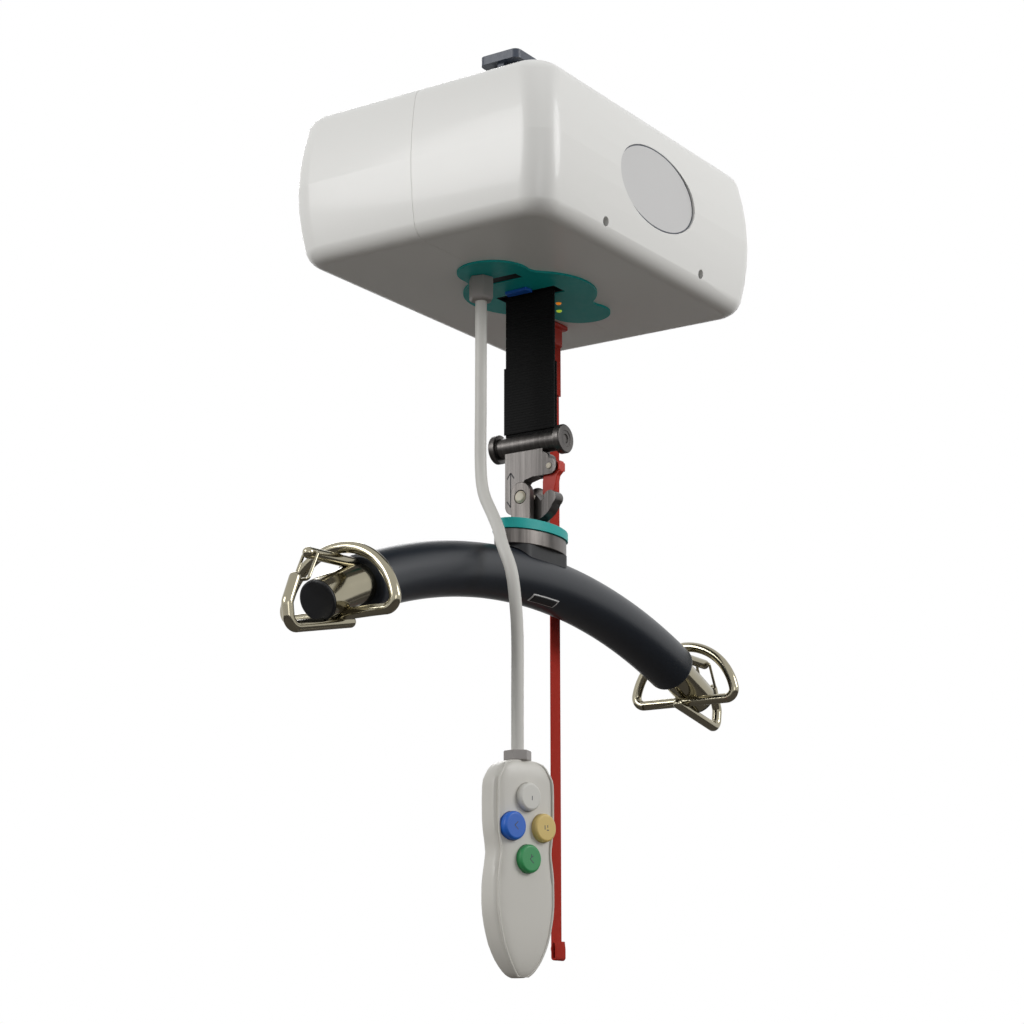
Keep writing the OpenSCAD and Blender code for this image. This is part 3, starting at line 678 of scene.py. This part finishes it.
class HOIST_OT_hook(bpy.types.Operator):
    """Dress the hook, its roller, latch, fork and swivel"""
    bl_idname = "hoist.hook"
    bl_label = "Hook and swivel"

    def execute(self, context):
        dress("strap_roller", "dark_steel", 0.0007)
        low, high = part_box("latch_pin")
        self.pivot = (low + high) / 2
        slot_at = Vector((0, self.pivot.y, self.pivot.z))
        carved("hook_plate", slot_at + BLADE_SLOT_LOW, slot_at + BLADE_SLOT_HIGH, "dark_steel", 0.0007)
        self.rivet()
        self.latch()
        dress("fork", "fork_steel", 0.0010)
        low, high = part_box("fork_pin")
        half = (high.x - low.x) / 2
        profile = both_ends(half, ((0, 0), (0, 0.0036), (0.0006, 0.0044), (0.0014, 0.0046), (0.0016, 0.0052)))
        head = turned_part(profile, (low + high) / 2, (1, 0, 0), 40)
        made = piece("fork_rivet", head, "fork", "cream_steel", 35)
        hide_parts("fork_pin")
        dress("swivel_ring", "teal", 0.0006)
        dress("swivel_housing", "fork_steel", 0.0009)
        dress("bar_saddle", "black_plastic", 0.0012)
        return {"FINISHED"}

    def rivet(self):
        """Domed rivet that the latch turns on."""
        profile = both_ends(RIVET_HALF, ((0, 0), (0, RIVET_R), (0.0005, RIVET_R + 0.0004), (0.0009, RIVET_R)))
        rivet = turned_part(profile, self.pivot, (1, 0, 0), 32)
        made = piece("latch_rivet", rivet, "hook", "cream_steel", 35)
        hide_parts("latch_pin")

    def latch(self):
        """Red blade in the slot of the hook, with its thumb lever."""
        bm = plate_part(LATCH_OUTLINE, LATCH_THICK, self.pivot, Vector((0, 1, 0)), Vector((0, 0, 1)))
        made = soften(piece("latch_blade", bm, "latch", "red_plastic", 30), 0.0008)
        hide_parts("safety_latch")
        bm = bmesh.new()
        block(bm, self.pivot + LEVER_LOW, self.pivot + LEVER_HIGH)
        soften(piece("latch_lever", bm, "latch", "red_plastic", 30), 0.0008)


class HOIST_OT_strap(bpy.types.Operator):
    """Make the lifting strap as ribbed webbing"""
    bl_idname = "hoist.strap"
    bl_label = "Lifting strap"

    def execute(self, context):
        low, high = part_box("lift_strap")
        mid = (low + high) / 2
        bm = bmesh.new()
        top = Vector((mid.x, mid.y, high.z))
        faces = strap_section(bm, top, high.y - low.y, high.x - low.x, Vector((0, 1, 0)), Vector((1, 0, 0)))
        Run(bm, faces, top, Vector((0, 0, -1))).straight(high.z - low.z, 64)
        bmesh.ops.recalc_face_normals(bm, faces=bm.faces)
        made = piece("lifting_webbing", bm, None, "black_webbing", 60)
        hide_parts("lift_strap")
        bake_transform(made)
        self.sewn_fold(mid, low, high)
        return {"FINISHED"}

    def sewn_fold(self, mid, low, high):
        """Doubled, sewn part of the strap above the roller, as two outer layers."""
        start, end = UNDER - 0.0655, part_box("strap_roller")[1].z - 0.0012
        for name, side in (("strap_fold_front", -1), ("strap_fold_back", 1)):
            bm = bmesh.new()
            top = Vector((mid.x + side * ((high.x - low.x) / 2 + 0.0008), mid.y, start))
            faces = strap_section(bm, top, high.y - low.y + 0.0012, 0.0015, Vector((0, 1, 0)), Vector((1, 0, 0)))
            Run(bm, faces, top, Vector((0, 0, -1))).straight(start - end, 24)
            bmesh.ops.recalc_face_normals(bm, faces=bm.faces)
            piece(name, bm, "hook", "black_webbing", 60)


class HOIST_OT_pull(bpy.types.Operator):
    """Make the emergency pull strap with its sewn loop, and dress its anchor"""
    bl_idname = "hoist.pull"
    bl_label = "Pull strap"

    def execute(self, context):
        dress("pull_anchor", "red_plastic", 0.0022)
        low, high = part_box("pull_strap")
        mid = (low + high) / 2
        thick, width = 0.0015, high.x - low.x
        across, down = Vector((1, 0, 0)), Vector((0, 0, -1))
        front, back = Vector((0, -1, 0)), Vector((0, 1, 0))
        top = Vector((mid.x, mid.y, high.z))
        bm = bmesh.new()
        run = Run(bm, strap_section(bm, top, width, thick, across, back), top, down)
        run.straight(high.z - low.z - 0.0165, 40)
        bmesh.ops.recalc_face_normals(bm, faces=bm.faces)
        made = piece("pull_webbing", bm, "cassette", "red_webbing", 60)
        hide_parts("pull_strap")
        foot = run.line[-1].copy()

        bm = bmesh.new()
        loop = Run(bm, strap_section(bm, foot, width, thick, across, back), foot, down)
        loop.curve(back, 0.006, 24, 3)
        loop.curve(front, 0.006, 24, 3)
        loop.straight(0.0048, 2)
        loop.curve(front, 0.002, 180, 10)
        loop.straight(0.0066, 2)
        loop.curve(loop.heading.cross(across), 0.010, 7, 2)
        loop.straight(0.0055, 2)
        bmesh.ops.recalc_face_normals(bm, faces=bm.faces)
        knot = piece("pull_loop", bm, "cassette", "red_webbing", 60)

        bm = bmesh.new()
        start = top + Vector((0, -0.0017, 0.0))
        fold = Run(bm, strap_section(bm, start, width + 0.0008, 0.0017, across, back), start, down)
        fold.straight(0.046, 12)
        bmesh.ops.recalc_face_normals(bm, faces=bm.faces)
        sewn = piece("pull_fold", bm, "cassette", "red_webbing", 60)
        return {"FINISHED"}


# hand control: turn in degrees, width and depth in metres,
# and its form as shares of length, half width and half depth
HAND_TURN, HAND_WIDE, HAND_DEEP = -15, 0.058, 0.023
HAND_FORM = [(0.035, 0.82, 0.93), (0.075, 0.95, 1), (0.13, 1, 1), (0.28, 1, 1), (0.36, 0.97, 1), (0.43, 0.94, 1),
             (0.5, 0.97, 1), (0.58, 1, 1), (0.67, 0.96, 1), (0.76, 0.84, 1), (0.85, 0.67, 0.97), (0.92, 0.49, 0.9),
             (0.97, 0.3, 0.76), (0.992, 0.17, 0.6)]

# rim of its face: how far in it lies, its radius, and its top as (across, share of half depth, down) points
RIM_IN, RIM_BACK, RIM_RADIUS = 0.885, 0.862, 0.0010
RIM_TOP = [(-0.0185, 0.76, 0.0034), (-0.0125, 0.68, 0.0016), (-0.0062, 0.62, 0.0009), (0, 0.60, 0.0007),
           (0.0062, 0.62, 0.0009), (0.0125, 0.68, 0.0016), (0.0185, 0.76, 0.0034)]

# route of the cable, millimetres from the cassette's underside, as in the solids
CABLE = [(-60, 10, -22), (-60, 10, -70), (-60, 10, -120), (-60, 10, -165), (-63, 5, -190), (-70, -8, -210),
         (-84, -24, -228), (-97, -37, -246), (-98, -46, -267), (-95, -48, -292), (-92, -48, -320), (-92, -48, -365),
         (-92, -48, -411)]


def through(points, steps):
    """Points on a smooth curve through the chosen ones."""
    out = []
    last = len(points) - 1
    for i in range(last):
        p0, p1, p2, p3 = points[max(i - 1, 0)], points[i], points[i + 1], points[min(i + 2, last)]
        for k in range(steps):
            t = k / steps
            square = p0 * 2 - p1 * 5 + p2 * 4 - p3
            cube = p1 * 3 - p0 - p2 * 3 + p3
            out.append((p1 * 2 + (p2 - p0) * t + square * t * t + cube * t ** 3) / 2)
    return out + [points[-1]]


class HOIST_OT_control(bpy.types.Operator):
    """Make the hand control's cable, and dress the control and its buttons"""
    bl_idname = "hoist.control"
    bl_label = "Hand control"

    def execute(self, context):
        route = through([at(*p) for p in CABLE], 3)
        made = tube("control_cable", route, 0.005, 6, "cable_grey")
        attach(made, "cassette")
        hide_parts("handset_cable")
        length = sum((b - a).length for a, b in zip(route, route[1:]))
        low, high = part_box("handset_nut")
        centre = (low + high) / 2
        nut = six_sided(0.0108, NUT_STEPS)
        placed(nut, Matrix.Rotation(math.radians(HAND_TURN), 3, "Z"), Vector((centre.x, centre.y, high.z)))
        made = soften(piece("handset_gland", nut, "cassette", "gland_grey", 28), 0.0004)
        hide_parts("handset_nut")
        self.shell()
        for node, slot in (("button_top", "button_pale"), ("button_blue", "blue_plastic"),
                           ("button_yellow", "button_yellow"), ("button_green", "button_green")):
            dress(node, slot, 0.0016)
        return {"FINISHED"}

    def shell(self):
        """Hand control's case: a fuller lower end, and a raised rim round its face."""
        low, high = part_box("handset_shell")
        length, top = high.z - low.z, high.z
        turn = Matrix.Rotation(math.radians(HAND_TURN), 3, "Z")
        back = turn.inverted()
        centre = Vector(((low.x + high.x) / 2, (low.y + high.y) / 2, 0))
        bm = copy_of("handset_shell")
        for v in bm.verts:
            p = back @ (v.co - centre)
            p.x += self.wider(p.x, (top - p.z) / length)
            v.co = turn @ p + centre
        join_flat(bm)
        made = soften(piece("handset_case", bm, "cassette", "handset_grey", 40), 0.0008)
        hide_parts("handset_shell")

        rows = through([Vector((w, t, q)) for q, w, t in HAND_FORM], 3)
        side = []
        for row in rows:
            x = HAND_WIDE / 2 * row.x
            x += self.wider(x, row.z)
            side.append(Vector((x * RIM_IN, -HAND_DEEP / 2 * row.y * RIM_BACK, top - row.z * length)))
        loop = side + [Vector((-p.x, p.y, p.z)) for p in reversed(side)]
        crown = [Vector((x, -HAND_DEEP / 2 * y, top - z)) for x, y, z in RIM_TOP]
        points = [turn @ p + centre for p in loop + crown]
        rim = tube("handset_rim", points, RIM_RADIUS, 3, "handset_grey", closed=True)
        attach(rim, "cassette")

    def wider(self, x, share):
        """How far a side point of the case moves out at a share of its length."""
        if share < 0.56:
            return math.copysign(0.0024 * clamp((abs(x) - 0.0262) / 0.0024), x)
        full = 1.08 + 0.17 * clamp((share - 0.6) / 0.25)
        return x * (full - 1.0)


class HOIST_OT_bar(bpy.types.Operator):
    """Make the foam sleeve and dress the tube, rings, hooks, caps and gates"""
    bl_idname = "hoist.bar"
    bl_label = "Spreader bar"

    def execute(self, context):
        middle = bar_centre()
        reach = math.asin(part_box("foam_cover")[1].x / SLEEVE_BEND)
        bm = bmesh.new()
        sides = context.scene.hoist_looks.sleeve_sides
        for radius in (SLEEVE_OUT, SLEEVE_IN):
            bmesh.ops.create_circle(bm, segments=sides, radius=radius)
        bmesh.ops.bridge_loops(bm, edges=bm.edges[:])
        swung = Matrix.Translation(middle) @ Matrix.Rotation(-reach, 4, "Y")
        upright = Matrix.Translation((0, 0, SLEEVE_BEND)) @ Matrix.Rotation(math.radians(90), 4, "Y")
        bmesh.ops.transform(bm, matrix=swung @ upright, verts=bm.verts)
        start = bm.faces[:]
        made = bmesh.ops.spin(bm, geom=everything(bm), cent=middle, axis=(0, 1, 0), angle=2 * reach, steps=100)
        ends = start + faces_of(made["geom_last"])
        outer_edge = 2 * SLEEVE_OUT * math.sin(math.pi / sides)
        rims = [e for f in ends for e in f.edges if abs(e.calc_length() - outer_edge) < 1e-6]
        bmesh.ops.bevel(bm, geom=list(dict.fromkeys(rims)), offset=0.003, segments=4, profile=0.5,
                        affect="EDGES", material=-1)
        bmesh.ops.recalc_face_normals(bm, faces=bm.faces)
        made = piece("foam_sleeve", bm, "bar", "foam", 50)
        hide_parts("foam_cover")
        dress("bar_tube", "chrome", 0.0)
        for end in "ab":
            dress("end_fitting_" + end, "nickel", 0.0)
            dress("end_cap_" + end, "black_plastic", 0.0005)
            dress("wire_gate_" + end, "nickel", 0.0)
        return {"FINISHED"}


# engraved strokes on the buttons: their ends in millimetres to the right and up from the button's middle
BUTTON_STROKES = {
    "button_top": (((0.6, 0.6), (0.6, -2.8)),),
    "button_blue": (((1.6, 3.0), (-1.8, 0.2)), ((-1.8, 0.2), (1.8, -3.0))),
    "button_yellow": (((-1.8, 1.8), (-1.8, -1.4)), ((1.0, 2.0), (1.0, 0.2)), ((0.2, -1.8), (2.2, -1.8))),
    "button_green": (((-0.2, 3.4), (-0.2, 1.0)), ((1.6, 2.2), (-1.8, -0.2)), ((-1.8, -0.2), (2.0, -3.4))),
}
STROKE_HALF = 0.00036

# bare plate on the foam: name, slot, degrees along the bar, degrees round it, and how far it stands proud
PLATES = (("bare_plate", "badge_grey", 3.4, 22, 0.0002), ("bare_plate_face", "black_plastic", 3.05, 17.5, 0.0006))
PLATE_ROUND = -56

# double arrow on the hook: its place along Y, top and bottom below the underside, line width and barb
ARROW_Y, ARROW_TOP, ARROW_BOTTOM, ARROW_LINE = 0.0163, -0.160, -0.190, 0.0011
BARB_WIDE, BARB_LONG = 0.0037, 0.0052


class HOIST_OT_marks(bpy.types.Operator):
    """Add the arrow on the hook, the strokes on the buttons and the bare plate on the foam"""
    bl_idname = "hoist.marks"
    bl_label = "Small marks"

    def execute(self, context):
        self.plate()
        self.hook_arrow()
        self.button_marks()
        return {"FINISHED"}

    def plate(self):
        """Bare plate on the foam: a bright border with a dark face in it."""
        middle = bar_centre()
        for name, slot, long, wide, proud in PLATES:
            bm = bmesh.new()
            bmesh.ops.create_grid(bm, x_segments=16, y_segments=6, size=0.5)
            for v in bm.verts:
                along, about = math.radians(v.co.x * long), math.radians(PLATE_ROUND + v.co.y * wide)
                r = SLEEVE_OUT + proud
                outwards = Vector((math.sin(along), 0, math.cos(along)))
                v.co = middle + outwards * (SLEEVE_BEND + r * math.sin(about)) - Vector((0, r * math.cos(about), 0))
            bmesh.ops.recalc_face_normals(bm, faces=bm.faces)
            made = piece(name, bm, "bar", slot, 60)
            thick = made.modifiers.new("thickness", "SOLIDIFY")
            thick.thickness, thick.offset = 0.0004, 0

    def hook_arrow(self):
        """Double arrow engraved on the hook's side."""
        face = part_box("hook_plate")[0].x
        bm = bmesh.new()
        y, top, bottom = ARROW_Y, UNDER + ARROW_TOP, UNDER + ARROW_BOTTOM
        lines = [((y, top), (y, bottom))]
        for z, way in ((top, -1), (bottom, 1)):
            lines += [((y, z), (y + wide, z + way * BARB_LONG)) for wide in (BARB_WIDE, -BARB_WIDE)]
        for a, b in lines:
            d = Vector((0, b[0] - a[0], b[1] - a[1]))
            n = Vector((0, -d.z, d.y)).normalized() * ARROW_LINE / 2
            base = Vector((face - 0.00005, a[0], a[1]))
            quad = [bm.verts.new(p) for p in (base + n, base + d + n, base + d - n, base - n)]
            bm.faces.new(quad)
        thicken(bm, bm.faces[:], (0.0003, 0, 0))
        piece("hook_arrow", bm, "hook", "black_plastic", 30)

    def button_marks(self):
        """Strokes engraved on the faces of the buttons."""
        turn = Matrix.Rotation(math.radians(HAND_TURN), 4, "Z")
        out = (turn @ Vector((0, -1, 0))).normalized()
        side = (turn @ Vector((1, 0, 0))).normalized()
        up = Vector((0, 0, 1))
        for node, strokes in BUTTON_STROKES.items():
            low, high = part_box(node)
            centre = (low + high) / 2
            reach = max((v.co - centre).dot(out) for v in frame["nodes"][node].data.vertices)
            centre += out * (reach + 0.00006)
            bm = bmesh.new()
            for a, b in strokes:
                p = centre + (side * a[0] + up * a[1]) / 1000
                q = centre + (side * b[0] + up * b[1]) / 1000
                n = (q - p).cross(out).normalized() * STROKE_HALF
                bm.faces.new([bm.verts.new(c) for c in (p + n, q + n, q - n, p - n)])
            thicken(bm, bm.faces[:], out * -0.0003)
            piece(node + "_mark", bm, node, "frame_dark", 30)


# lamps: place in metres, size, and share of the key light's power
LAMPS = (
    ("key", (1.0, -2.7, 0.9), 1.5, 1.0),
    ("side", (-2.8, 1.3, 0.9), 1.5, 1.05),
    ("rim", (1.7, 1.9, 1.2), 1.2, 0.34),
    ("fill", (-1.9, -2.1, -0.3), 1.0, 0.14),
)
SKY_COLOUR, SKY_POWER = (0.93, 0.95, 1.0, 1), 0.36
FLOOR_HALF, FLOOR_DROP = 9, 0.9

# camera: place in millimetres from the underside, lens and sensor in millimetres, and where it looks
CAMERA_AT = (-1594, -1051, -648)
LENS, SENSOR = 81.63, 36.0
LOOK_X, LOOK_Y, LOOK_UP = 0.8303, 0.5573, 0.23089


class HOIST_OT_stage(bpy.types.Operator):
    """Set the floor, the lights and the camera"""
    bl_idname = "hoist.stage"
    bl_label = "Stage"

    def execute(self, context):
        context.scene.view_settings.view_transform = "Standard"
        self.world(context.scene)
        self.floor(context.scene)
        self.lamps(context.scene)
        self.camera(context.scene)
        return {"FINISHED"}

    def world(self, scene):
        """White behind the part and in its reflections, and a dim sky as light."""
        world = bpy.data.worlds.new("studio")
        scene.world = world
        world.use_nodes = True
        tree = world.node_tree
        path = tree.nodes.new("ShaderNodeLightPath")
        sky = tree.nodes["Background"]
        sky.inputs[0].default_value, sky.inputs[1].default_value = SKY_COLOUR, SKY_POWER
        seen = tree.nodes.new("ShaderNodeBackground")
        seen.inputs[0].default_value, seen.inputs[1].default_value = (1, 1, 1, 1), 1.0
        mix = tree.nodes.new("ShaderNodeMixShader")
        share = path.outputs["Is Camera Ray"]
        for kind in ("Is Glossy Ray", "Is Transmission Ray"):
            either = tree.nodes.new("ShaderNodeMath")
            either.operation = "MAXIMUM"
            tree.links.new(share, either.inputs[0])
            tree.links.new(path.outputs[kind], either.inputs[1])
            share = either.outputs[0]
        tree.links.new(share, mix.inputs[0])
        tree.links.new(sky.outputs[0], mix.inputs[1])
        tree.links.new(seen.outputs[0], mix.inputs[2])
        tree.links.new(mix.outputs[0], tree.nodes["World Output"].inputs[0])

    def floor(self, scene):
        """Pale floor far below the part."""
        bm = bmesh.new()
        bmesh.ops.create_grid(bm, x_segments=2, y_segments=2, size=FLOOR_HALF)
        mesh = bpy.data.meshes.new("floor")
        bm.to_mesh(mesh)
        bm.free()
        floor = bpy.data.objects.new("floor", mesh)
        floor.location = (0, 0, CAD_BOX[0].z - FLOOR_DROP)
        scene.collection.objects.link(floor)
        pale = Finish("pale_floor")
        camera_ray = Value(pale, pale.node("ShaderNodeLightPath").outputs["Is Camera Ray"])
        mottled = pale.blend(pale.noise(3.0), rgb("#9C9B98"), rgb("#A09F9C"))
        pale.set("Base Color", pale.blend(camera_ray, rgb("#6E6A66"), mottled))
        pale.set("Emission Color", pale.blend(camera_ray, (0.0, 0.0, 0.0), (0.44, 0.44, 0.43)))
        pale.set("Emission Strength", 1.0)
        pale.set("Roughness", 0.8)
        floor.data.materials.append(pale.material)

    def lamps(self, scene):
        """Large soft lamps that look at the middle of the part."""
        target = at(0, 0, -120)
        for name, place, size, share in LAMPS:
            data = bpy.data.lights.new(name, "AREA")
            data.shape, data.size = "DISK", size
            data.energy = scene.hoist_looks.key_power * share
            lamp = bpy.data.objects.new(name, data)
            lamp.location = place
            lamp.visible_camera = False
            lamp.rotation_euler = (target - Vector(place)).to_track_quat("-Z", "Y").to_euler()
            scene.collection.objects.link(lamp)

    def camera(self, scene):
        """Long lens from below and to the left of the front."""
        data = bpy.data.cameras.new("camera")
        data.lens, data.sensor_width = LENS, SENSOR
        data.clip_start = 0.01
        camera = bpy.data.objects.new("camera", data)
        camera.location = at(*CAMERA_AT)
        pitch = math.asin(LOOK_UP)
        look = Vector((LOOK_X * math.cos(pitch), LOOK_Y * math.cos(pitch), math.sin(pitch)))
        camera.rotation_euler = look.to_track_quat("-Z", "Y").to_euler()
        scene.collection.objects.link(camera)
        scene.camera = camera


class HOIST_PT_panel(bpy.types.Panel):
    """Lists the steps that dress the hoist"""
    bl_label = "Ceiling Track Hoist"
    bl_idname = "HOIST_PT_panel"
    bl_space_type = "VIEW_3D"
    bl_region_type = "UI"
    bl_category = "Hoist"

    def draw(self, context):
        looks = context.scene.hoist_looks
        for name in ("shell_colour", "rib", "sleeve_sides", "key_power"):
            self.layout.prop(looks, name)
        for step in STEPS:
            self.layout.operator(step.bl_idname)


STEPS = (HOIST_OT_stage, HOIST_OT_control, HOIST_OT_covers, HOIST_OT_trolley, HOIST_OT_hook,
         HOIST_OT_strap, HOIST_OT_pull, HOIST_OT_bar, HOIST_OT_marks)
CLASSES = (HOIST_Looks, *STEPS, HOIST_PT_panel)


def register():
    for cls in CLASSES:
        bpy.utils.register_class(cls)
    bpy.types.Scene.hoist_looks = PointerProperty(type=HOIST_Looks)


def unregister():
    del bpy.types.Scene.hoist_looks
    for cls in reversed(CLASSES):
        bpy.utils.unregister_class(cls)


def main():
    register()
    make_finishes()
    bpy.ops.hoist.stage()
    bpy.ops.hoist.control()
    bpy.ops.hoist.covers()
    bpy.ops.hoist.trolley()
    bpy.ops.hoist.hook()
    bpy.ops.hoist.strap()
    bpy.ops.hoist.pull()
    bpy.ops.hoist.bar()
    bpy.ops.hoist.marks()


if __name__ == "__main__":
    main()
